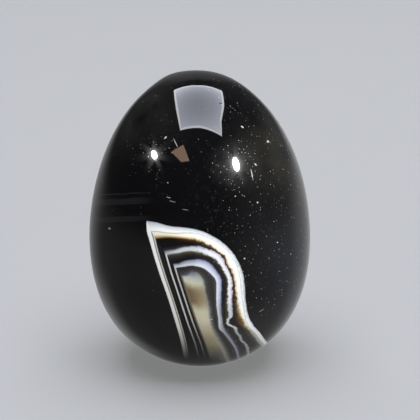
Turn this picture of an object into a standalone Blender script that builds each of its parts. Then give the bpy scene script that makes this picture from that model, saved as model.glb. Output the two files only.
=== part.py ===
"""A banded onyx egg: one piece of black, white-banded stone, turned and polished to an egg shape.

It stands on its blunt end, on a small spot that is ground flat.
Metres, +Z up. The origin is the middle of the flat spot.
"""

import math

import bpy

# Driving dimensions
BELLY_RADIUS = 0.0180  # half the width of the plain oval that the egg is drawn from
HALF_HEIGHT = 0.02485  # half the height, from the middle to either tip, before the spot is ground
TAPER = 0.128  # share of the width taken from the pointed top and given to the blunt base
FULLNESS = 0.070  # share of the width that rounds out both ends
FLAT_DIAMETER = 0.0090  # the ground spot that the egg stands on

# Fineness of the turned surface
PROFILE_STEPS = 44
TURN_STEPS = 88
MERGE_DISTANCE = 0.00001

# Finish
STONE_COLOUR = (0.012, 0.012, 0.014, 1.0)
STONE_ROUGHNESS = 0.06
STONE_IOR = 1.54

COLLECTION = "banded_onyx_egg"


def clear_scene():
    for old in list(bpy.data.objects):
        bpy.data.objects.remove(old, do_unlink=True)


def egg_radius(turn):
    """Radius of the egg where the profile's angle is turn: 0 at the top tip, pi at the base tip."""
    lean = math.cos(turn)
    return BELLY_RADIUS * math.sin(turn) * (1 - TAPER * lean + FULLNESS * lean**2)


def egg_height(turn):
    """Height above the egg's middle at the same angle."""
    return HALF_HEIGHT * math.cos(turn)


def flat_turn():
    """The angle at which the lower half has narrowed to the flat spot's rim."""
    low, high = math.pi / 2, math.pi
    while high - low > 1e-9:
        middle = (low + high) / 2
        if egg_radius(middle) > FLAT_DIAMETER / 2:
            low = middle
        else:
            high = middle
    return high


def egg_profile():
    """Points in the XZ plane, down the outer side from the top tip, then in to the base's centre."""
    last = flat_turn()
    base = egg_height(last)
    points = []
    for step in range(PROFILE_STEPS + 1):
        turn = last * step / PROFILE_STEPS
        points.append((egg_radius(turn), 0.0, egg_height(turn) - base))
    points.append((0.0, 0.0, 0.0))
    return points


def turned_solid(name, points, collection):
    """A closed solid from a profile turned once round Z."""
    edges = [(i, i + 1) for i in range(len(points) - 1)]
    mesh = bpy.data.meshes.new(name)
    mesh.from_pydata(points, edges, [])
    solid = bpy.data.objects.new(name, mesh)
    collection.objects.link(solid)
    screw = solid.modifiers.new("turn", "SCREW")
    screw.axis = "Z"
    screw.angle = math.tau
    screw.steps = TURN_STEPS
    screw.render_steps = TURN_STEPS
    screw.use_merge_vertices = True
    screw.merge_threshold = MERGE_DISTANCE
    screw.use_smooth_shade = True
    return solid


def polished_stone(name):
    material = bpy.data.materials.new(name)
    material.use_nodes = True
    shader = material.node_tree.nodes["Principled BSDF"]
    shader.inputs["Base Color"].default_value = STONE_COLOUR
    shader.inputs["Roughness"].default_value = STONE_ROUGHNESS
    shader.inputs["Metallic"].default_value = 0.0
    shader.inputs["IOR"].default_value = STONE_IOR
    return material


def build():
    clear_scene()
    parts = bpy.data.collections.new(COLLECTION)
    bpy.context.scene.collection.children.link(parts)
    egg = turned_solid("egg", egg_profile(), parts)
    egg.data.materials.append(polished_stone("polished_stone"))


build()
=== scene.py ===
"""Looks of the banded onyx egg: one polished stone, black with a fan of white bands low on its front."""

import math

import bpy
from mathutils import Matrix, Quaternion, Vector, noise


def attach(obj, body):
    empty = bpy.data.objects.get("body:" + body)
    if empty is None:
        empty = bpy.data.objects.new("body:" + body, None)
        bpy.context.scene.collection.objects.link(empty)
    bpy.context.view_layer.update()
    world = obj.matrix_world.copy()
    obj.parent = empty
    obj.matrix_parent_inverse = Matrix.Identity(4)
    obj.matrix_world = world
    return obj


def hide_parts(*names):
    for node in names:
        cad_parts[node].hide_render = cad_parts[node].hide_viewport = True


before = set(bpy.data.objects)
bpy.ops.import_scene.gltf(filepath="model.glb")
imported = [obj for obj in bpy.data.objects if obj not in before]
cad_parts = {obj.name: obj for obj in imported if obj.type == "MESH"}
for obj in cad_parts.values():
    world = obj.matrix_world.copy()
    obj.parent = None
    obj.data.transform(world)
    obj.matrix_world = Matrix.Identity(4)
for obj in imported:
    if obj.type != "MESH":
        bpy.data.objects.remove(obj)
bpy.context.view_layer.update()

# The camera.
# It stands at arm's length with a long lens, and looks down on the egg's face at 20 degrees.
MILLI = 0.001
EGG_MIDDLE = Vector((0, 0, 24.30 * MILLI))
LOOK_DOWN = math.radians(20)
CAMERA_DISTANCE = 420 * MILLI
CAMERA_LEAN = math.radians(0.85)
SENSOR_WIDTH = 36
FRAME_WIDTH = 68.96 * MILLI
FRAME_CENTRE_RIGHT = 1.73 * MILLI
FRAME_CENTRE_UP = 1.38 * MILLI
NEAREST_SEEN, FARTHEST_SEEN = 0.01, 10

camera_data = bpy.data.cameras.new("camera")
camera = bpy.data.objects.new("camera", camera_data)
bpy.context.scene.collection.objects.link(camera)
bpy.context.scene.camera = camera
camera_data.sensor_width = SENSOR_WIDTH
camera_data.lens = SENSOR_WIDTH * CAMERA_DISTANCE / FRAME_WIDTH
camera_data.clip_start = NEAREST_SEEN
camera_data.clip_end = FARTHEST_SEEN

into_scene = Vector((0, math.cos(LOOK_DOWN), -math.sin(LOOK_DOWN)))
face_up = Vector((0, math.sin(LOOK_DOWN), math.cos(LOOK_DOWN)))
lean = Quaternion(into_scene, CAMERA_LEAN)
frame_right = lean @ Vector((1, 0, 0))
frame_up = lean @ face_up
camera.location = EGG_MIDDLE - into_scene * CAMERA_DISTANCE
aim = EGG_MIDDLE + frame_right * FRAME_CENTRE_RIGHT + frame_up * FRAME_CENTRE_UP
back = (camera.location - aim).normalized()
right = frame_up.cross(back).normalized()
up = back.cross(right)
camera.rotation_mode = "QUATERNION"
camera.rotation_quaternion = Matrix((right, up, back)).transposed().to_quaternion()

# The stone.
# It is one lump of banded chalcedony, sawn, ground on a wheel to an egg, and polished by hand, which leaves
# low swells and a wave of about a hundredth of a millimetre. It stands on a small flat spot.
HALF_HEIGHT = 24.85 * MILLI
BELLY = 18.0 * MILLI
TAPER = 0.128
FULLNESS = 0.070
FLAT_SOFTNESS = 0.03 * MILLI
ROUND_STEPS = 288
TALL_STEPS = 216
OUTWARD_RISE = 0.6
WAVE_LENGTH = 7.0 * MILLI
WAVE_DEPTH = 0.012 * MILLI
WAVE_STARTS = 3.0 * MILLI
GROUND_SWELLS = [(100.6, 0.29, 7), (66, -0.10, 8), (30, 0.15, 24)]
OUTLINE_TILT = math.radians(10.8)
SWELL_STARTS = 1.5 * MILLI


def egg_point(turn, round_angle):
    """A point of the ground egg: turn is 0 at the top tip and pi at the base tip."""
    lean_in = math.cos(turn)
    radius = BELLY * math.sin(turn) * (1 - TAPER * lean_in + FULLNESS * lean_in**2)
    height = EGG_MIDDLE.z + HALF_HEIGHT * lean_in
    height = (height + math.hypot(height, FLAT_SOFTNESS)) / 2
    return Vector((radius * math.cos(round_angle), radius * math.sin(round_angle), height))


def swell_at(point):
    """How far the hand-ground swells lift a point: each has an angle on the outline, a height, a spread."""
    outline_up = Vector((0, math.sin(OUTLINE_TILT), math.cos(OUTLINE_TILT)))
    direction = (point - EGG_MIDDLE).normalized()
    lift = 0
    for angle, height, spread in GROUND_SWELLS:
        turned = math.radians(angle)
        toward = Vector((math.cos(turned), 0, 0)) + outline_up * math.sin(turned)
        lift += height * math.exp(-((direction.angle(toward) / math.radians(spread)) ** 2))
    return lift * MILLI


def polished(point):
    """The same point after hand grinding and polishing; the flat spot keeps its place."""
    outward = Vector((point.x, point.y, (point.z - EGG_MIDDLE.z) * OUTWARD_RISE)).normalized()
    wave = WAVE_DEPTH * (1 + noise.noise(point / WAVE_LENGTH)) * min(1, point.z / WAVE_STARTS)
    return point + outward * (swell_at(point) * min(1, point.z / SWELL_STARTS) - wave)


def egg_mesh():
    """Rings from the top tip to the middle of the flat spot, joined by quads."""
    points = [polished(egg_point(0, 0))]
    for ring in range(1, TALL_STEPS):
        turn = math.pi * ring / TALL_STEPS
        for step in range(ROUND_STEPS):
            points.append(polished(egg_point(turn, math.tau * step / ROUND_STEPS)))
    points.append(egg_point(math.pi, 0))
    faces = []
    last = len(points) - 1
    low_ring = 1 + (TALL_STEPS - 2) * ROUND_STEPS
    for step in range(ROUND_STEPS):
        beside = (step + 1) % ROUND_STEPS
        faces.append((0, 1 + step, 1 + beside))
        faces.append((last, low_ring + beside, low_ring + step))
        for ring in range(TALL_STEPS - 2):
            high, low = 1 + ring * ROUND_STEPS, 1 + (ring + 1) * ROUND_STEPS
            faces.append((high + step, low + step, low + beside, high + beside))
    mesh = bpy.data.meshes.new("onyx_egg")
    mesh.from_pydata(points, [], faces)
    mesh.shade_smooth()
    return mesh


onyx_egg = bpy.data.objects.new("onyx_egg", egg_mesh())
bpy.context.scene.collection.objects.link(onyx_egg)

# The layers in the stone.
# They grew one over the other inside a hollow: white and cream, brown, black, two more white ones, and
# a cloudy core. A sawn face through them shows a fan with straight layers on its left side.


class Flow:
    """A value, colour or place on its way through the nodes. Arithmetic on it adds Math nodes."""

    def __init__(self, socket):
        self.socket = socket

    def node(self, kind, settings=None, sockets=None, output=0):
        """A new node of a type: its settings first, then the values or links of its sockets."""
        tree = self.socket.id_data
        made = tree.nodes.new("ShaderNode" + kind)
        for name, value in (settings or {}).items():
            if name == "stops":
                put_stops(made.color_ramp, value)
            elif name == "points":
                put_points(made.mapping, value)
            else:
                setattr(made, name, value)
        for name, value in (sockets or {}).items():
            if isinstance(value, Flow):
                tree.links.new(value.socket, made.inputs[name])
            elif made.inputs[name].type == "RGBA":
                made.inputs[name].default_value = (*value, 1)
            else:
                made.inputs[name].default_value = value
        return Flow(made.outputs[output])

    def beside(self, output):
        """Another output of the node that this one comes out of."""
        return Flow(self.socket.node.outputs[output])

    def math(self, operation, *values):
        return self.node("Math", {"operation": operation}, dict(enumerate(values)))

    def vector(self, operation, *values):
        return self.node("VectorMath", {"operation": operation}, dict(enumerate(values)))

    def __add__(self, other):
        return self.math("ADD", self, other)

    def __sub__(self, other):
        return self.math("SUBTRACT", self, other)

    def __mul__(self, other):
        return self.math("MULTIPLY", self, other)

    def __truediv__(self, other):
        return self.math("DIVIDE", self, other)

    def __radd__(self, other):
        return self.math("ADD", other, self)

    def __rsub__(self, other):
        return self.math("SUBTRACT", other, self)

    def __rmul__(self, other):
        return self.math("MULTIPLY", other, self)

    def root(self):
        return self.math("SQRT", self)

    def size(self):
        """The value without its sign."""
        return self.math("ABSOLUTE", self)

    def least(self, other):
        return self.math("MINIMUM", self, other)

    def most(self, other):
        return self.math("MAXIMUM", self, other)

    def along(self, direction):
        """How far a place lies in a direction."""
        return self.vector("DOT_PRODUCT", self, direction).beside("Value")

    def rise(self, start, end):
        """0 before start, 1 after end, and a smooth slope between them; it falls if end is the lower."""
        return self.node(
            "MapRange",
            {"interpolation_type": "SMOOTHSTEP"},
            {"Value": self, "From Min": start, "From Max": end},
        )

    def share(self, start, end):
        """0 before start, 1 after end, and a straight slope between them; it falls if end is the lower."""
        return self.node("MapRange", {}, {"Value": self, "From Min": start, "From Max": end})

    def ramp(self, stops):
        return self.node("ValToRGB", {"stops": stops}, {"Fac": self})

    def curve(self, points):
        return self.node("FloatCurve", {"points": points}, {"Value": self})


CURVE_REACH = 30


def put_stops(ramp, stops):
    """A ramp's stops: pairs of a place from 0 to 1 and a colour."""
    while len(ramp.elements) < len(stops):
        ramp.elements.new(1.0)
    for element, (stop_place, colour) in zip(ramp.elements, stops):
        element.position = stop_place
        element.color = (*colour, 1)


def put_points(mapping, points):
    """A curve's points: pairs of a place and a height, in their own units."""
    mapping.clip_min_x = mapping.clip_min_y = -CURVE_REACH
    mapping.clip_max_x = mapping.clip_max_y = CURVE_REACH
    curve = mapping.curves[0]
    while len(curve.points) < len(points):
        curve.points.new(0, 0)
    for point, location in zip(curve.points, points):
        point.location = location
        point.handle_type = "AUTO_CLAMPED"
    mapping.update()


def mix(colour, other, share):
    """A colour with a share of another in it."""
    return share.node("Mix", {"data_type": "RGBA"}, {0: share, 6: colour, 7: other}, 2)


# Where a point lies, in millimetres from the egg's middle as the camera sees it: across to the right, above
# and behind. Farther back the layers slide and dip, so that the back shows the fan in another place.
SLIDE_STARTS = -2.0
SLIDE_LENGTH = 18.0
SLIDE_ACROSS = 5.0
SLIDE_DOWN = 4.0

stone = bpy.data.materials.new("banded_onyx")
stone.use_nodes = True
shader = stone.node_tree.nodes["Principled BSDF"]
place = Flow(shader.outputs["BSDF"]).node("TexCoord", output="Object")
place = place.vector("SUBTRACT", place, EGG_MIDDLE)
place = place.vector("DIVIDE", place, (MILLI, MILLI, MILLI))
across = place.along((1, 0, 0))
above = place.along(face_up)
behind = place.along(into_scene)
slide = (behind - SLIDE_STARTS).most(0) / SLIDE_LENGTH
slide = slide * slide
layer_across = across + slide * SLIDE_ACROSS
layer_above = above - slide * SLIDE_DOWN

# The round layers, as their distance from the fan's pivot. The way along them is measured from the
# pivot's level: upwards round the fan, and downwards to the egg's foot. Each edge has its own roughness.
PIVOT_ACROSS, PIVOT_ABOVE = -1.5, -10.0
WAY_RADIUS = 6.0
OUTER_EDGE = [
    (-13, 14.6), (-10.5, 12.35), (-8.5, 10.94), (-7.5, 10.11), (-6.5, 9.5), (-5.5, 9.11), (-3.5, 8.76),
    (-0.5, 8.56), (2.5, 8.18), (5.5, 8.02), (8.5, 8.33), (10.5, 8.87), (11.5, 9.49), (12.5, 10.95),
    (13.1, 12.0), (14.5, 15.0),
]
CREAM_EDGE = [
    (-13, 13.0), (-10.5, 10.78), (-8.5, 9.32), (-7.5, 8.47), (-6.5, 8.00), (-5.5, 7.46), (-3.5, 7.18),
    (-1.5, 7.02), (0.5, 6.77), (1.8, 6.55), (2.3, 6.32), (2.9, 6.36), (3.3, 6.60), (5.5, 6.42),
    (8.5, 6.62), (10.5, 7.06), (12.5, 8.20), (14, 9.4),
]
SECOND_OUTER = [
    (-13, 9.4), (-11.5, 9.27), (-10.5, 8.93), (-9.8, 8.24), (-9.0, 7.98), (-8.3, 7.38), (-7.45, 7.15),
    (-7.05, 6.17), (-6.3, 6.05), (-5.7, 6.6), (-4.5, 6.52), (-0.5, 6.54), (2.0, 6.20), (2.8, 6.08),
    (3.5, 6.32), (6.5, 5.90), (10.5, 5.57), (12.0, 5.58), (13.5, 6.20), (15, 6.85),
]
SECOND_INNER = [
    (-13, 9.05), (-11.5, 8.84), (-10.5, 8.45), (-9.8, 7.79), (-9.0, 7.50), (-8.4, 6.93), (-7.6, 6.72),
    (-7.2, 5.75), (-6.4, 5.58), (-5.6, 5.86), (-3.5, 5.73), (-0.5, 5.82), (2.5, 5.38), (5.5, 5.10),
    (7.5, 4.84), (11.5, 4.91), (13.5, 5.55), (15, 6.05),
]
THIRD_OUTER = [
    (-13, 7.8), (-11.5, 7.48), (-10.5, 7.06), (-8.5, 5.80), (-7.5, 5.22), (-6.5, 4.97), (-3.5, 4.71),
    (-0.5, 4.84), (2.5, 4.37), (5.5, 4.06), (7.5, 3.71), (10.5, 3.46), (12.5, 3.46), (14, 3.93),
    (16, 4.5),
]
THIRD_INNER = [
    (-13, 7.4), (-11.5, 7.01), (-10.5, 6.52), (-8.5, 5.13), (-7.4, 4.27), (-6.8, 4.27), (-6.3, 4.26),
    (-3.5, 3.97), (-0.5, 4.03), (2.5, 3.30), (5.5, 2.86), (7.5, 2.61), (10.5, 2.56), (12.5, 2.75),
    (14.2, 3.2), (16, 3.6),
]
CORE_EDGE = [
    (-13, 6.0), (-10.5, 4.97), (-8.5, 3.96), (-6.5, 3.45), (-3.5, 3.04), (-0.5, 2.52), (2.5, 2.25),
    (6.5, 1.97), (8.5, 1.84), (11.5, 1.56), (13.5, 1.66), (16, 2.15),
]
CORE_FRINGE = 0.8
ROUND_EDGES = [
    (OUTER_EDGE, 0.15), (CREAM_EDGE, 0.65), (SECOND_OUTER, 0.60), (SECOND_INNER, 0.60),
    (THIRD_OUTER, 0.30), (THIRD_INNER, 0.12), (CORE_EDGE, 0.40),
]
JAG_SIZE = 0.6
JAGS_END = (11, 8)

from_pivot = layer_across - PIVOT_ACROSS
over_pivot = (layer_above - PIVOT_ABOVE).most(0)
under_pivot = (layer_above - PIVOT_ABOVE).least(0)
way = over_pivot.math("ARCTAN2", over_pivot, from_pivot) * WAY_RADIUS + under_pivot
reach = (over_pivot * over_pivot + from_pivot * from_pivot).root()


def cloud(size, detail=2.0):
    """Uneven growth, from about -0.25 to 0.25, in lumps of a size in millimetres."""
    return place.node("TexNoise", {}, {"Vector": place, "Scale": 1 / size, "Detail": detail}) - 0.5


def layer_count(edges, position):
    """How many layers lie outside a position, as a number that rises evenly across each layer."""
    count = 0
    for outer, inner in zip(edges, edges[1:]):
        count = position.share(outer, inner) + count
    return count


jag = cloud(JAG_SIZE) * way.rise(*JAGS_END)
round_edges = [way.curve(points) + jag * roughness for points, roughness in ROUND_EDGES]
round_edges.append(round_edges[-1] - CORE_FRINGE)
round_count = layer_count(round_edges, reach)

# The straight layers on the fan's left: where the first one's left edge runs at each height, how wide it
# is, and how far inside that edge the middles of the two thin ones lie.
LEFT_EDGE = [
    (-24, -2.7), (-22, -2.98), (-20, -3.28), (-16, -4.26), (-12, -5.41), (-8, -6.71), (-3, -8.10),
    (-2, -8.37), (-1, -8.42), (0, -8.35), (2, -8.2),
]
WHITE_WIDTH = [(-24, 0.93), (-11, 0.93), (-8, 1.0), (-5, 1.0), (-3, 1.10), (0, 1.25)]
SECOND_LINE = [
    (-24, 2.70), (-22, 2.45), (-20, 2.26), (-18, 2.06), (-16, 1.95), (-13, 1.90), (-6, 2.02), (2, 2.2),
]
THIRD_LINE = [
    (-24, 3.65), (-22, 3.42), (-20, 3.17), (-18, 2.92), (-16, 2.78), (-13, 2.70), (-8, 2.82), (2, 3.3),
]
HALF_LINE = 0.155
CORE_GAP = 0.42
CORE_RISE = 0.55

left_edge = layer_above.curve(LEFT_EDGE)
second_line = left_edge + layer_above.curve(SECOND_LINE)
third_line = left_edge + layer_above.curve(THIRD_LINE)
straight_edges = [
    left_edge,
    left_edge + layer_above.curve(WHITE_WIDTH),
    second_line - HALF_LINE,
    second_line + HALF_LINE,
    third_line - HALF_LINE,
    third_line + HALF_LINE,
    third_line + CORE_GAP,
    third_line + (CORE_GAP + CORE_RISE),
]
straight_count = layer_count(straight_edges, layer_across)
fan_count = round_count.least(straight_count)

# The tints that the layers have, each at its brightest.
GREY = (1.00, 1.00, 1.00)
WHITE = (1.00, 1.00, 0.97)
MILK = (0.95, 0.97, 1.00)
ICE = (0.87, 0.94, 1.00)
BLUISH = (0.82, 0.87, 1.00)
SKY = (0.67, 0.75, 1.00)
DEEP_BLUE = (0.36, 0.38, 1.00)
LILAC = (0.91, 0.90, 1.00)
ROSE = (1.00, 0.83, 0.96)
IVORY = (1.00, 0.97, 0.87)
CREAM = (1.00, 0.95, 0.71)
SAND = (1.00, 0.88, 0.60)
AMBER = (1.00, 0.79, 0.47)
BROWN = (1.00, 0.65, 0.33)
UMBER = (1.00, 0.56, 0.19)
OLIVE = (1.00, 1.00, 0.75)
PALE_GREEN = (0.90, 1.00, 0.93)

# The colours across the layers, each by the count of layers outside it, its tint and how light it is. The
# first white layer is 0 to 1, a dark one 1 to 2, the second white one 2 to 3, a dark one, the third 4 to 5,
# a dark one, the core's rim. They change along the way: amber near the crown, grey at the egg's foot.
# These numbers weren't chosen by hand: scratch programs fitted them to the photo's median colours along
# each layer. report.md says how, and that this breaks a rule.
LAYERS = 7
CROWN_COLOURS = [
    (0.00, GREY, 0.003), (0.05, BLUISH, 0.39), (0.13, ICE, 0.61), (0.48, WHITE, 0.925),
    (0.66, IVORY, 0.94), (0.84, CREAM, 0.84), (0.94, AMBER, 0.54), (1.02, UMBER, 0.185),
    (1.14, UMBER, 0.045), (1.35, UMBER, 0.018), (1.65, GREY, 0.002), (1.90, SKY, 0.028),
    (2.06, BLUISH, 0.40), (2.30, ICE, 0.61), (2.70, MILK, 0.58), (2.90, WHITE, 0.48),
    (3.00, OLIVE, 0.172), (3.10, OLIVE, 0.060), (3.30, SAND, 0.022), (3.75, SKY, 0.004),
    (3.95, DEEP_BLUE, 0.019), (4.08, SKY, 0.25), (4.35, BLUISH, 0.385), (4.65, ICE, 0.59),
    (4.92, ICE, 0.64), (5.04, LILAC, 0.051), (5.25, LILAC, 0.019), (5.80, ROSE, 0.040),
    (6.20, SKY, 0.107), (6.60, BLUISH, 0.22), (7.00, PALE_GREEN, 0.47),
]
SIDE_COLOURS = [
    (0.00, GREY, 0.003), (0.05, ICE, 0.37), (0.15, ICE, 0.60), (0.35, MILK, 0.92),
    (0.80, IVORY, 0.84), (0.91, SAND, 0.58), (0.98, BROWN, 0.275), (1.04, BROWN, 0.073),
    (1.65, ROSE, 0.012), (1.85, ROSE, 0.041), (1.96, ROSE, 0.130), (2.06, ROSE, 0.39),
    (2.30, LILAC, 0.71), (2.60, MILK, 0.835), (2.88, MILK, 0.67), (3.06, CREAM, 0.072),
    (3.30, SAND, 0.017), (3.60, ROSE, 0.013), (3.90, DEEP_BLUE, 0.039), (4.04, SKY, 0.30),
    (4.25, SKY, 0.58), (4.80, BLUISH, 0.82), (4.95, LILAC, 0.71), (5.04, BLUISH, 0.077),
    (5.40, IVORY, 0.028), (5.80, IVORY, 0.035), (6.20, MILK, 0.064), (6.45, GREY, 0.152),
    (7.00, PALE_GREEN, 0.37),
]
SHOULDER_COLOURS = [
    (0.00, GREY, 0.003), (0.05, BLUISH, 0.44), (0.18, ICE, 0.82), (0.42, WHITE, 0.94),
    (0.58, WHITE, 0.90), (0.72, SAND, 0.75), (0.86, AMBER, 0.295), (1.00, BROWN, 0.125),
    (1.40, AMBER, 0.026), (1.96, LILAC, 0.019), (2.08, BLUISH, 0.43), (2.50, ICE, 0.70),
    (2.92, MILK, 0.50), (3.06, OLIVE, 0.060), (3.50, SAND, 0.016), (3.92, SKY, 0.040),
    (4.06, BLUISH, 0.203), (4.35, ICE, 0.42), (4.85, LILAC, 0.70), (5.04, LILAC, 0.072),
    (5.50, PALE_GREEN, 0.031), (5.85, PALE_GREEN, 0.055), (6.15, PALE_GREEN, 0.097),
    (6.50, ICE, 0.24), (7.00, IVORY, 0.42),
]
FOOT_COLOURS = [
    (0.00, GREY, 0.015), (0.05, ICE, 0.64), (0.18, ICE, 0.75), (0.40, WHITE, 0.74),
    (0.58, GREY, 0.35), (0.78, IVORY, 0.32), (0.92, CREAM, 0.20), (1.03, IVORY, 0.063),
    (1.50, IVORY, 0.032), (1.96, LILAC, 0.040), (2.08, MILK, 0.24), (2.50, MILK, 0.37),
    (2.92, MILK, 0.28), (3.06, IVORY, 0.045), (3.50, GREY, 0.029), (3.94, SKY, 0.073),
    (4.10, BLUISH, 0.175), (4.50, BLUISH, 0.31), (4.90, LILAC, 0.355), (5.04, GREY, 0.059),
    (5.45, LILAC, 0.038), (5.75, IVORY, 0.064), (6.00, WHITE, 0.165), (6.30, WHITE, 0.257),
    (7.00, CREAM, 0.40),
]
STRAIGHT_COLOURS = [
    (0.00, GREY, 0.004), (0.06, WHITE, 0.70), (0.16, WHITE, 0.91), (0.54, WHITE, 0.95),
    (0.61, WHITE, 0.62), (0.68, WHITE, 0.16), (0.76, WHITE, 0.17), (0.83, WHITE, 0.71),
    (0.90, IVORY, 0.63), (0.97, IVORY, 0.22), (1.03, IVORY, 0.016), (1.35, IVORY, 0.009),
    (1.52, IVORY, 0.019), (1.70, IVORY, 0.007), (1.98, GREY, 0.005), (2.12, GREY, 0.38),
    (2.50, GREY, 0.70), (2.86, MILK, 0.515), (3.02, GREY, 0.008), (3.98, GREY, 0.009),
    (4.12, GREY, 0.36), (4.50, WHITE, 0.58), (4.86, WHITE, 0.37), (5.02, AMBER, 0.012),
    (5.90, AMBER, 0.010), (7.00, CREAM, 0.29),
]
SIDE_TO_CROWN = (6.0, 9.5)
SIDE_TO_SHOULDER = (-2.5, -5.0)
SHOULDER_TO_FOOT = (-6.8, -8.8)
LEFT_SEAM = (-0.02, 0.02)


def tinted(stops, first, last):
    """A ramp's stops, from stops that each have a level from first to last, a tint and a lightness."""
    return [
        ((level - first) / (last - first), [part * light for part in tint]) for level, tint, light in stops
    ]


def layer_colours(count, stops):
    return (count / LAYERS).ramp(tinted(stops, 0, LAYERS))


fan_colour = layer_colours(round_count, SIDE_COLOURS)
fan_colour = mix(fan_colour, layer_colours(round_count, CROWN_COLOURS), way.rise(*SIDE_TO_CROWN))
fan_colour = mix(fan_colour, layer_colours(round_count, SHOULDER_COLOURS), way.rise(*SIDE_TO_SHOULDER))
fan_colour = mix(fan_colour, layer_colours(round_count, FOOT_COLOURS), way.rise(*SHOULDER_TO_FOOT))
straight_colour = layer_colours(straight_count, STRAIGHT_COLOURS)
on_left = (round_count - straight_count).rise(*LEFT_SEAM)

# Near the crown's left end the amber thins to an edge and the second white layer fades. On the left, the
# thin straight layers fade towards the foot, and all of them darken at it as painted shade, where little
# light reaches the underside.
AMBER_SHADE = (0.005, 0.004, 0.004)
AMBER_THIN = (0.1, 0.3)
AMBER_THIN_WAY = (9.5, 12)
AMBER_COUNT = (1.75, 1.6)
SECOND_FADE = 0.6
SECOND_FADE_WAY = (11.5, 15.5)
SECOND_COUNTS = [(1.9, 2.05), (3.4, 3.1)]
LEFT_FADE_AND_SHADE = (0.02, 0.02, 0.02)
LEFT_SHADE_ABOVE = (-17.4, -22.8)
THIN_FADE = 0.42
THIN_FADE_ABOVE = (-15.5, -18.5)
THIN_COUNT = (1.0, 2.0)

past_amber = (round_edges[1] - reach).share(*AMBER_THIN) * way.rise(*AMBER_THIN_WAY)
fan_colour = mix(fan_colour, AMBER_SHADE, past_amber * round_count.rise(*AMBER_COUNT))
second_fade = way.rise(*SECOND_FADE_WAY) * SECOND_FADE
for limits in SECOND_COUNTS:
    second_fade = second_fade * round_count.share(*limits)
fan_colour = mix(fan_colour, AMBER_SHADE, second_fade)
thin_fade = layer_above.share(*THIN_FADE_ABOVE) * THIN_FADE * straight_count.share(*THIN_COUNT)
straight_colour = mix(straight_colour, LEFT_FADE_AND_SHADE, thin_fade)
# Painted shade: all the straight layers darken towards the foot.
straight_colour = mix(straight_colour, LEFT_FADE_AND_SHADE, layer_above.share(*LEFT_SHADE_ABOVE))
fan_colour = mix(fan_colour, straight_colour, on_left)

# A thin grey layer inside the first white one, strongest at the foot and near the crown's left end.
GREY_LINE = [
    (-13, 12.9), (-10.4, 11.15), (-9.0, 10.25), (-8.4, 9.70), (-6.6, 8.77), (-4.9, 8.41), (-2.9, 8.14),
    (0, 7.86), (1, 7.75), (5, 7.52), (7, 7.50), (8, 7.62), (10, 7.78), (11, 7.97), (12, 8.55), (13, 9.7),
]
GREY_LINE_COLOUR = (0.34, 0.36, 0.38)
GREY_LINE_EDGE = (0.17, 0.03)
GREY_LINE_JAG = 0.4
GREY_LINE_COUNT = (1.0, 0.9)
GREY_STRENGTH = 0.5
GREY_AT_FOOT, FOOT_WAY = 0.25, (-7.5, -9.5)
GREY_AT_CROWN, CROWN_WAY = 0.2, (8, 12)

from_grey = (reach - way.curve(GREY_LINE) + jag * GREY_LINE_JAG).size()
grey_strength = way.rise(*FOOT_WAY) * GREY_AT_FOOT + way.rise(*CROWN_WAY) * GREY_AT_CROWN + GREY_STRENGTH
in_white = (1 - on_left) * fan_count.share(*GREY_LINE_COUNT)
fan_colour = mix(fan_colour, GREY_LINE_COLOUR, from_grey.share(*GREY_LINE_EDGE) * grey_strength * in_white)

# The cloudy core, whose colours lie almost level: dark grey at the foot, olive, cream, brown, pale green
# and grey at its top. The brown is deepest beside the straight layers, the green away from them. These
# numbers were typed with the photo's measured colours as a guide, then fitted with a tint by a program.
CORE_LOW, CORE_HIGH = -23.0, -8.0
CORE_COLOURS = [
    (-23.0, GREY, 0.031), (-22.3, IVORY, 0.095), (-21.5, CREAM, 0.14), (-20.0, SAND, 0.29),
    (-18.3, SAND, 0.45), (-17.2, CREAM, 0.52), (-16.0, CREAM, 0.61), (-15.0, CREAM, 0.595),
    (-14.2, SAND, 0.46), (-13.2, AMBER, 0.315), (-12.4, AMBER, 0.27), (-11.6, AMBER, 0.30),
    (-10.9, SAND, 0.405), (-10.2, OLIVE, 0.55), (-9.5, PALE_GREEN, 0.46), (-8.8, BLUISH, 0.21),
    (-8.0, ICE, 0.035),
]
CORE_SLOPE = 0.10
CORE_LUMP, CORE_WAVE = 2.2, 1.6
CORE_BROWN = (0.160, 0.107, 0.062)
BROWN_INTO_CORE = (3.2, 0.6)
BROWN_LEVELS = [(-14.6, -13.2), (-10.4, -11.4)]
CORE_GREEN = (0.300, 0.340, 0.290)
GREEN_INTO_CORE = (1.8, 4.4)
GREEN_STRENGTH = 0.4
CORE_COUNT = (6.3, 7.0)

core_level = layer_above + layer_across * CORE_SLOPE + cloud(CORE_LUMP) * CORE_WAVE
core_colour = core_level.share(CORE_LOW, CORE_HIGH).ramp(tinted(CORE_COLOURS, CORE_LOW, CORE_HIGH))
into_core = layer_across - third_line
core_colour = mix(core_colour, CORE_GREEN, into_core.rise(*GREEN_INTO_CORE) * GREEN_STRENGTH)
in_brown = into_core.rise(*BROWN_INTO_CORE)
for limits in BROWN_LEVELS:
    in_brown = in_brown * core_level.rise(*limits)
core_colour = mix(core_colour, CORE_BROWN, in_brown)
fan_colour = mix(fan_colour, core_colour, fan_count.rise(*CORE_COUNT))
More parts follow.
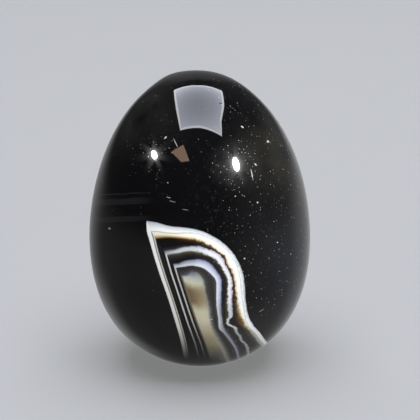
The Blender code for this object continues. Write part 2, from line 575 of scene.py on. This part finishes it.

# The stone round the fan: black, with hazes in parts of it and a painted glow of light. Each has a colour,
# the values that bring it in with where each starts and ends, and a strength. The last one is the painted
# glow round the right lamp's highlight.
GROUND = (0.0022, 0.0022, 0.0026)
BROWN_HAZE = (0.0175, 0.0168, 0.0125)
BLUE_HAZE = (0.008, 0.009, 0.012)
GREY_HAZE = (0.009, 0.009, 0.009)
FOOT_HAZE = (0.020, 0.020, 0.020)
TOP_HAZE = (0.012, 0.011, 0.010)
# A painted glow of light round the right lamp's highlight.
PAINTED_HIGHLIGHT_GLOW = (0.026, 0.0255, 0.026)
GRAIN = (0.030, 0.029, 0.028)
GRAIN_SIZE, GRAIN_DETAIL = 0.45, 3.0
GRAIN_LUMP, GRAIN_SWING = 5, 1.2
GRAIN_LEAST, GRAIN_MORE, GRAIN_ACROSS = 0.1, 0.2, (-2, 8)
FOOT_LEAST, FOOT_MORE, FOOT_ACROSS = 0.6, 0.4, (2, 8)
LUMP_SWING = 2.0
HIGHLIGHTS = [(-6.9, 10.1), (5.9, 8.4)]
HIGHLIGHT_REACH = (5.0, 1.0)
FRONT = (0, -4)


def nearness(light_across, light_above):
    """1 beside a lamp's highlight, falling to 0 some millimetres from it."""
    aside = across - light_across
    over = above - light_above
    return (aside * aside + over * over).root().rise(*HIGHLIGHT_REACH) * in_front


def lumpy(size, middle):
    """A strength that swings round its middle in lumps of a size."""
    return cloud(size) * LUMP_SWING + middle


def within(limits):
    """1 where every value has passed its end, falling to 0 where one hasn't reached its start."""
    return math.prod(value.rise(start, end) for value, start, end in limits)


in_front = behind.share(*FRONT)
near_left, near_right = [nearness(*highlight) for highlight in HIGHLIGHTS]
grain = cloud(GRAIN_SIZE, GRAIN_DETAIL)
grain_strength = across.rise(*GRAIN_ACROSS) * GRAIN_MORE + cloud(GRAIN_LUMP) * GRAIN_SWING + GRAIN_LEAST
foot_strength = across.rise(*FOOT_ACROSS) * FOOT_MORE + FOOT_LEAST
tints_and_glow = [
    (BROWN_HAZE, [(across, 2, 10), (above, 2, 9), (above, 18, 11)], lumpy(5, 0.6)),
    (BLUE_HAZE, [(across, 8, 15), (above, 2, -6)], lumpy(6, 0.8)),
    (GREY_HAZE, [(across, 2, -6), (above, 2, -10)], 1),
    (FOOT_HAZE, [(above, -12, -19)], foot_strength),
    (GRAIN, [(grain, 0.04, 0.22)], grain_strength.most(0)),
    (TOP_HAZE, [(above, 8, 15), (across, 0, -8)], lumpy(4, 0.5)),
    # Painted glow of light round the right lamp's highlight.
    (PAINTED_HIGHLIGHT_GLOW, [], near_right * lumpy(3, 0.6)),
]
ground = GROUND
for colour, limits, strength in tints_and_glow:
    ground = mix(ground, colour, within(limits) * strength)

# A few faint pale level lines on the left, in front only, each with a height, a width and a strength.
PALE_LINE = (0.020, 0.020, 0.021)
LEVEL_LINES = [(4.30, 0.16, 0.8), (3.10, 1.10, 0.5), (0.30, 1.0, 0.45)]
LEVEL_SLOPE = 0.02
LEVEL_LUMP, LEVEL_WAVE = 3, 0.4
LEVEL_ENDS = (-6.6, -10.6)

level_wave = cloud(LEVEL_LUMP, 1.0) * LEVEL_WAVE
for height, width, strength in LEVEL_LINES:
    from_line = (above - across * LEVEL_SLOPE - height + level_wave).size()
    level_line = from_line.share(width / 2, width / 3) * across.rise(*LEVEL_ENDS) * in_front
    ground = mix(ground, PALE_LINE, level_line * strength)

# Specks in the stone, thickest on the right, with extra ones near the two lamps' highlights that are
# painted glints; and a few larger marks, some of them scratches beside the highlights with their glints
# painted in, each with its place, half its length and width, its turn from level and its paleness.
SPECK_PALE = (0.50, 0.49, 0.46)
FINE_SIZE, FINE_RADIUS = 0.42, 0.075
LARGE_SIZE, LARGE_RADIUS, LARGE_SHARE = 2.4, 0.13, 0.7
SPECK_MIDDLE = 0.4
SPECK_CONTRAST = 0.5
SPECKS_ANYWHERE = 0.20
SPECKS_ON_RIGHT, RIGHT = 0.33, (-3, 7)
GLINT_SPECKS_NEAR_LIGHT = 0.85
SPECKS_IN_LUMPS = 0.9
WIDE_LUMP, SMALL_LUMP = 4, 1.5
MARKS_AND_GLINTS = [
    (8.38, 6.9, 0.80, 0.08, 100, 0.8), (9.0, 8.4, 0.28, 0.10, -45, 0.9),
    (-5.17, 12.85, 0.26, 0.12, 45, 0.9), (-3.6, 12.0, 0.75, 0.07, -65, 0.6),
    (-4.82, 3.36, 0.35, 0.08, -15, 0.45), (-4.2, 2.72, 0.5, 0.07, -15, 0.3),
    (-2.2, 1.4, 0.5, 0.07, -10, 0.25), (11.1, 12.1, 0.2, 0.2, 0, 0.7),
    (7.0, 14.4, 0.26, 0.1, -40, 0.9), (9.22, 2.38, 0.13, 0.13, 0, 0.9), (7.03, -6.45, 0.14, 0.14, 0, 0.8),
    (12.38, -4.02, 0.1, 0.1, 0, 0.8), (1.68, -16.13, 0.14, 0.12, 0, 1.0), (-14.42, -1.4, 0.2, 0.18, 0, 0.5),
    (9.73, -14.91, 0.5, 0.07, 30, 0.3), (-4.9, 5.7, 0.1, 0.1, 0, 0.7), (5.7, 3.4, 0.12, 0.1, 0, 0.7),
]
MARK_EDGE = (1.3, 0.5)


def specks(size, radius, kept):
    """Chance specks, about one for each cell of a size; only a share of them is kept."""
    cells = place.node("TexVoronoi", {}, {"Vector": place, "Scale": 1 / size}, "Distance")
    chance = cells.beside("Color").node("SeparateColor", {}, {0: cells.beside("Color")}, "Red")
    paleness = (kept - chance).share(0, SPECK_CONTRAST)
    return cells.share(radius / size, radius / size * SPECK_MIDDLE) * paleness * paleness


def mark(mark_across, mark_above, half_length, half_width, turned):
    """A short straight mark: 1 on it, 0 off it."""
    turned = math.radians(turned)
    from_across = across - mark_across
    from_above = above - mark_above
    length_way = (from_across * math.cos(turned) + from_above * math.sin(turned)) / half_length
    width_way = (from_above * math.cos(turned) - from_across * math.sin(turned)) / half_width
    return (length_way * length_way + width_way * width_way).share(*MARK_EDGE) * in_front


near = near_left.most(near_right)
wide_lumps = cloud(WIDE_LUMP)
# Painted glints: more pale specks near the two lamps' highlights.
speck_share = across.rise(*RIGHT) * SPECKS_ON_RIGHT + near * GLINT_SPECKS_NEAR_LIGHT + SPECKS_ANYWHERE
speck_share = speck_share + (wide_lumps + cloud(SMALL_LUMP, 1.0)) * SPECKS_IN_LUMPS
pale = specks(FINE_SIZE, FINE_RADIUS, speck_share)
pale = pale.most(specks(LARGE_SIZE, LARGE_RADIUS, speck_share * LARGE_SHARE))
for *shape, paleness in MARKS_AND_GLINTS:
    pale = pale.most(mark(*shape) * paleness)

# The polish: smooth as glass, but for pits a few thousandths of a millimetre deep, thickest near the
# highlights, and one fleck of dust.
PIT_SIZE, PIT_RADIUS = 0.5, 0.10
PIT_DEPTH = 0.006 * MILLI
PITS_ANYWHERE, PITS_NEAR_LIGHT, PITS_IN_LUMPS = 0.10, 0.5, 0.3
POLISH = 0.03
DUST_MARK = (3.61, 18.18, 0.26, 0.10, -20)
DUST_ROUGHNESS = 0.8
STONE_BEND = 1.54
FAN_EDGE = (0.0, 0.03)

pit_share = near * PITS_NEAR_LIGHT + wide_lumps * PITS_IN_LUMPS + PITS_ANYWHERE
pits = specks(PIT_SIZE, PIT_RADIUS, pit_share)
dimpled = pits.node("Bump", {"invert": True}, {"Strength": 1.0, "Distance": PIT_DEPTH, "Height": pits})
stone_colour = mix(ground, fan_colour, fan_count.share(*FAN_EDGE))
stone_colour = mix(stone_colour, SPECK_PALE, pale)
roughness = mark(*DUST_MARK) * DUST_ROUGHNESS + POLISH
for surface, socket in ((stone_colour, "Base Color"), (roughness, "Roughness"), (dimpled, "Normal")):
    stone.node_tree.links.new(surface.socket, shader.inputs[socket])
shader.inputs["IOR"].default_value = STONE_BEND
onyx_egg.data.materials.append(stone)

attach(onyx_egg, "root")
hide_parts("egg")

# The pale sheet.
# The egg stands on a wide round sheet of matt paper. A faint glow of its own stands in for the even light
# that a large studio throws on it.
FLOOR_RADIUS = 1.0
FLOOR_SIDES = 96
FLOOR_COLOUR = (0.252, 0.248, 0.242)
FLOOR_GLOW_COLOUR = (0.95, 0.985, 0.975)
FLOOR_GLOW = 0.211

floor_mesh = bpy.data.meshes.new("floor")
turns = [math.tau * side / FLOOR_SIDES for side in range(FLOOR_SIDES)]
rim = [(FLOOR_RADIUS * math.cos(turn), FLOOR_RADIUS * math.sin(turn), 0) for turn in turns]
floor_mesh.from_pydata(rim, [], [tuple(range(FLOOR_SIDES))])
floor = bpy.data.objects.new("floor", floor_mesh)
bpy.context.scene.collection.objects.link(floor)
paper = bpy.data.materials.new("pale_sheet")
paper.use_nodes = True
paper_inputs = paper.node_tree.nodes["Principled BSDF"].inputs
paper_inputs["Base Color"].default_value = (*FLOOR_COLOUR, 1)
paper_inputs["Roughness"].default_value = 1.0
paper_inputs["Specular IOR Level"].default_value = 0.0
paper_inputs["Emission Color"].default_value = (*FLOOR_GLOW_COLOUR, 1)
paper_inputs["Emission Strength"].default_value = FLOOR_GLOW
floor.data.materials.append(paper)
floor.visible_glossy = False
floor.visible_diffuse = False
floor.visible_shadow = False

# The softbox and the brown card.
# A square softbox of stretched cloth with a bright edge hangs overhead, and a glowing brown card, seen only
# in the stone's reflection, hangs between the lamps. Both face down, and their outlines are in units of
# their height over the egg.
PANEL_HEIGHT = 0.65
SOFTBOX_OUTLINE = [
    (-0.48, 0.68), (0.0, 0.60), (0.50, 0.62), (0.56, 0.11), (0.54, -0.30), (0.62, -0.61),
    (0.06, -0.54), (-0.44, -0.52), (-0.46, -0.05),
]
CLOTH_COLOUR = (0.84, 0.87, 1.02)
CLOTH_GLOW = 4.5
CLOTH_RISE = 1.9
EDGE_WIDTH = 0.025
EDGE_COLOUR = (0.95, 0.97, 1.0)
EDGE_GLOW = 10.0
CARD_OUTLINE = [(-0.844, -0.913), (-0.420, -0.853), (-0.306, -1.298), (-0.589, -1.284)]
CARD_COLOUR = (1.0, 0.68, 0.47)
CARD_GLOW = 3.6


def glowing(name, colour, strength):
    """A material that only gives off light."""
    material = bpy.data.materials.new(name)
    material.use_nodes = True
    nodes = material.node_tree.nodes
    light = Flow(nodes["Principled BSDF"].outputs["BSDF"])
    light = light.node("Emission", {}, {"Color": colour, "Strength": strength})
    material.node_tree.links.new(light.socket, nodes["Material Output"].inputs["Surface"])
    nodes.remove(nodes["Principled BSDF"])
    return material


def hung_panel(name, outline, edge_width, *materials):
    """A flat panel overhead, facing down: its middle has the first material, its edge the second."""
    height = Vector((0, 0, EGG_MIDDLE.z + PANEL_HEIGHT))
    outer = [Vector((x, y, 0)) for x, y in outline]
    inner = [point * (1 - 2 * edge_width / point.length) for point in outer]
    corners = len(outline)
    faces = [tuple(range(corners))]
    points = [point * PANEL_HEIGHT + height for point in inner]
    if edge_width:
        points += [point * PANEL_HEIGHT + height for point in outer]
        for corner in range(corners):
            following = (corner + 1) % corners
            faces.append((corners + corner, corners + following, following, corner))
    mesh = bpy.data.meshes.new(name)
    mesh.from_pydata(points, [], faces)
    for material in materials:
        mesh.materials.append(material)
    for face in mesh.polygons:
        face.material_index = min(face.index, 1)
    panel = bpy.data.objects.new(name, mesh)
    bpy.context.scene.collection.objects.link(panel)
    panel.visible_camera = False
    return panel


cloth = glowing("softbox_cloth", CLOTH_COLOUR, 1.0)
cloth_light = cloth.node_tree.nodes["Emission"]
spot = Flow(cloth_light.outputs["Emission"]).node("TexCoord", output="Object")
spot_x = spot.along((1 / PANEL_HEIGHT, 0, 0))
spot_y = spot.along((0, 1 / PANEL_HEIGHT, 0))
cloth_glow = ((spot_x * spot_x + spot_y * spot_y) * CLOTH_RISE + 1) * CLOTH_GLOW
cloth_colour = cloth_glow.vector("MULTIPLY", cloth_glow, CLOTH_COLOUR)
cloth.node_tree.links.new(cloth_colour.socket, cloth_light.inputs["Color"])
softbox_edge = glowing("softbox_edge", EDGE_COLOUR, EDGE_GLOW)
hung_panel("softbox", SOFTBOX_OUTLINE, EDGE_WIDTH, cloth, softbox_edge)
card = hung_panel("brown_card", CARD_OUTLINE, 0, glowing("brown_card", CARD_COLOUR, CARD_GLOW))
card.visible_diffuse = False

# The lamps.
# Two small lamps stand at the front corners and show as highlights. Two soft fill lights, which don't
# show, light the stone. Each has its azimuth to the right of the camera's side, its elevation, its width
# and height, its turn, its glow, and whether it shows.
LAMPS = [
    ("left_lamp", -66, 31, 0.108, 0.047, 0, 130, True),
    ("right_lamp", 51, 29, 0.092, 0.095, 15, 130, True),
    ("left_fill", -40, 5, 0.15, 0.15, 0, 6.3, False),
    ("right_fill", 60, 5, 0.15, 0.15, 0, 56, False),
]
LAMP_DISTANCE = 0.7
LAMP_COLOUR = (1.0, 0.99, 0.97)

lit_by_lamps = bpy.data.collections.new("lit_by_lamps")
lit_by_lamps.objects.link(onyx_egg)


def stand_lamp(name, azimuth, elevation, width, height, turned, glow, shows):
    """A lamp that lights the egg only; its power makes its face glow as brightly at any size."""
    azimuth, elevation = math.radians(azimuth), math.radians(elevation)
    level = math.cos(elevation)
    away = Vector((math.sin(azimuth) * level, -math.cos(azimuth) * level, math.sin(elevation)))
    light = bpy.data.lights.new(name, "AREA")
    light.shape = "ELLIPSE"
    light.size = width
    light.size_y = height
    light.energy = glow * math.pi**2 / 4 * width * height
    light.color = LAMP_COLOUR
    stand = bpy.data.objects.new(name, light)
    bpy.context.scene.collection.objects.link(stand)
    stand.location = EGG_MIDDLE + away * LAMP_DISTANCE
    stand.rotation_mode = "QUATERNION"
    turn = Quaternion((0, 0, 1), math.radians(turned))
    stand.rotation_quaternion = away.to_track_quat("Z", "Y") @ turn
    stand.visible_camera = False
    stand.visible_glossy = shows
    stand.light_linking.receiver_collection = lit_by_lamps


for lamp in LAMPS:
    stand_lamp(*lamp)

# The room.
# Its walls and its floor give a soft light, dim ahead and overhead and brighter behind, to the right and
# low down. Each patch of light has a strength, and the directions that bring it in with their limits.
ROOM_GLOW = 0.042
ROOM_TINT = (1.0, 1.0, 1.03)
BACKDROP = (0.50, 0.512, 0.524)

world = bpy.data.worlds.new("studio")
bpy.context.scene.world = world
world.use_nodes = True
background = world.node_tree.nodes["Background"]
way_out = Flow(background.outputs["Background"]).node("TexCoord", output="Generated")
rightward = way_out.along((1, 0, 0))
backward = way_out.along((0, 1, 0))
upward = way_out.along((0, 0, 1))
low = [(upward, 0.02, -0.20)]
high = [(upward, -0.20, 0.02)]
low_band = low + [(upward, -0.90, -0.50)]
beside = [(rightward, 0.3, 0.95)]
behind_right = [(rightward, 0.05, 0.35), (backward, 0.25, 0.55)]
room_lights = [
    (0.09, low),
    (0.22, [(rightward, -0.1, -0.4), (backward, 0.3, 0.6), (upward, -0.35, -0.60)]),
    (0.24, low_band + [(backward, 0.45, 0.95)]),
    (0.12, low_band + beside),
    (0.18, low_band + behind_right),
    (0.13, high + beside + [(upward, 0.4, 0.1)]),
    (0.03, high + behind_right),
    (0.20, high + [(rightward.size(), 0.40, 0.12), (backward, 0.68, 0.82)]),
]
room_glow = ROOM_GLOW
for strength, limits in room_lights:
    room_glow = within(limits) * strength + room_glow
room_colour = room_glow.vector("MULTIPLY", room_glow, ROOM_TINT)
to_camera = room_glow.node("LightPath", output="Is Camera Ray")
room_colour = mix(room_colour, BACKDROP, to_camera)
world.node_tree.links.new(room_colour.socket, background.inputs["Color"])

# The lens.
# It is plain glass, in which the two lamps' highlights are bright enough to draw short rays round them.
# The picture's tones are kept as they fall.
RAY_COUNT = 7
RAY_STRENGTH = 0.35
RAY_FADE = 0.72
RAY_TURN = math.radians(12)
RAYS_ABOVE = 1.6

bpy.context.scene.view_settings.view_transform = "Standard"
bpy.context.scene.use_nodes = True
lens = bpy.context.scene.node_tree
lens.nodes.clear()
seen = lens.nodes.new("CompositorNodeRLayers")
rays = lens.nodes.new("CompositorNodeGlare")
picture = lens.nodes.new("CompositorNodeComposite")
rays.glare_type = "STREAKS"
rays.quality = "HIGH"
rays.inputs["Threshold"].default_value = RAYS_ABOVE
rays.inputs["Streaks"].default_value = RAY_COUNT
rays.inputs["Strength"].default_value = RAY_STRENGTH
rays.inputs["Fade"].default_value = RAY_FADE
rays.inputs["Streaks Angle"].default_value = RAY_TURN
rays.inputs["Color Modulation"].default_value = 0
lens.links.new(seen.outputs["Image"], rays.inputs["Image"])
lens.links.new(rays.outputs["Image"], picture.inputs["Image"])
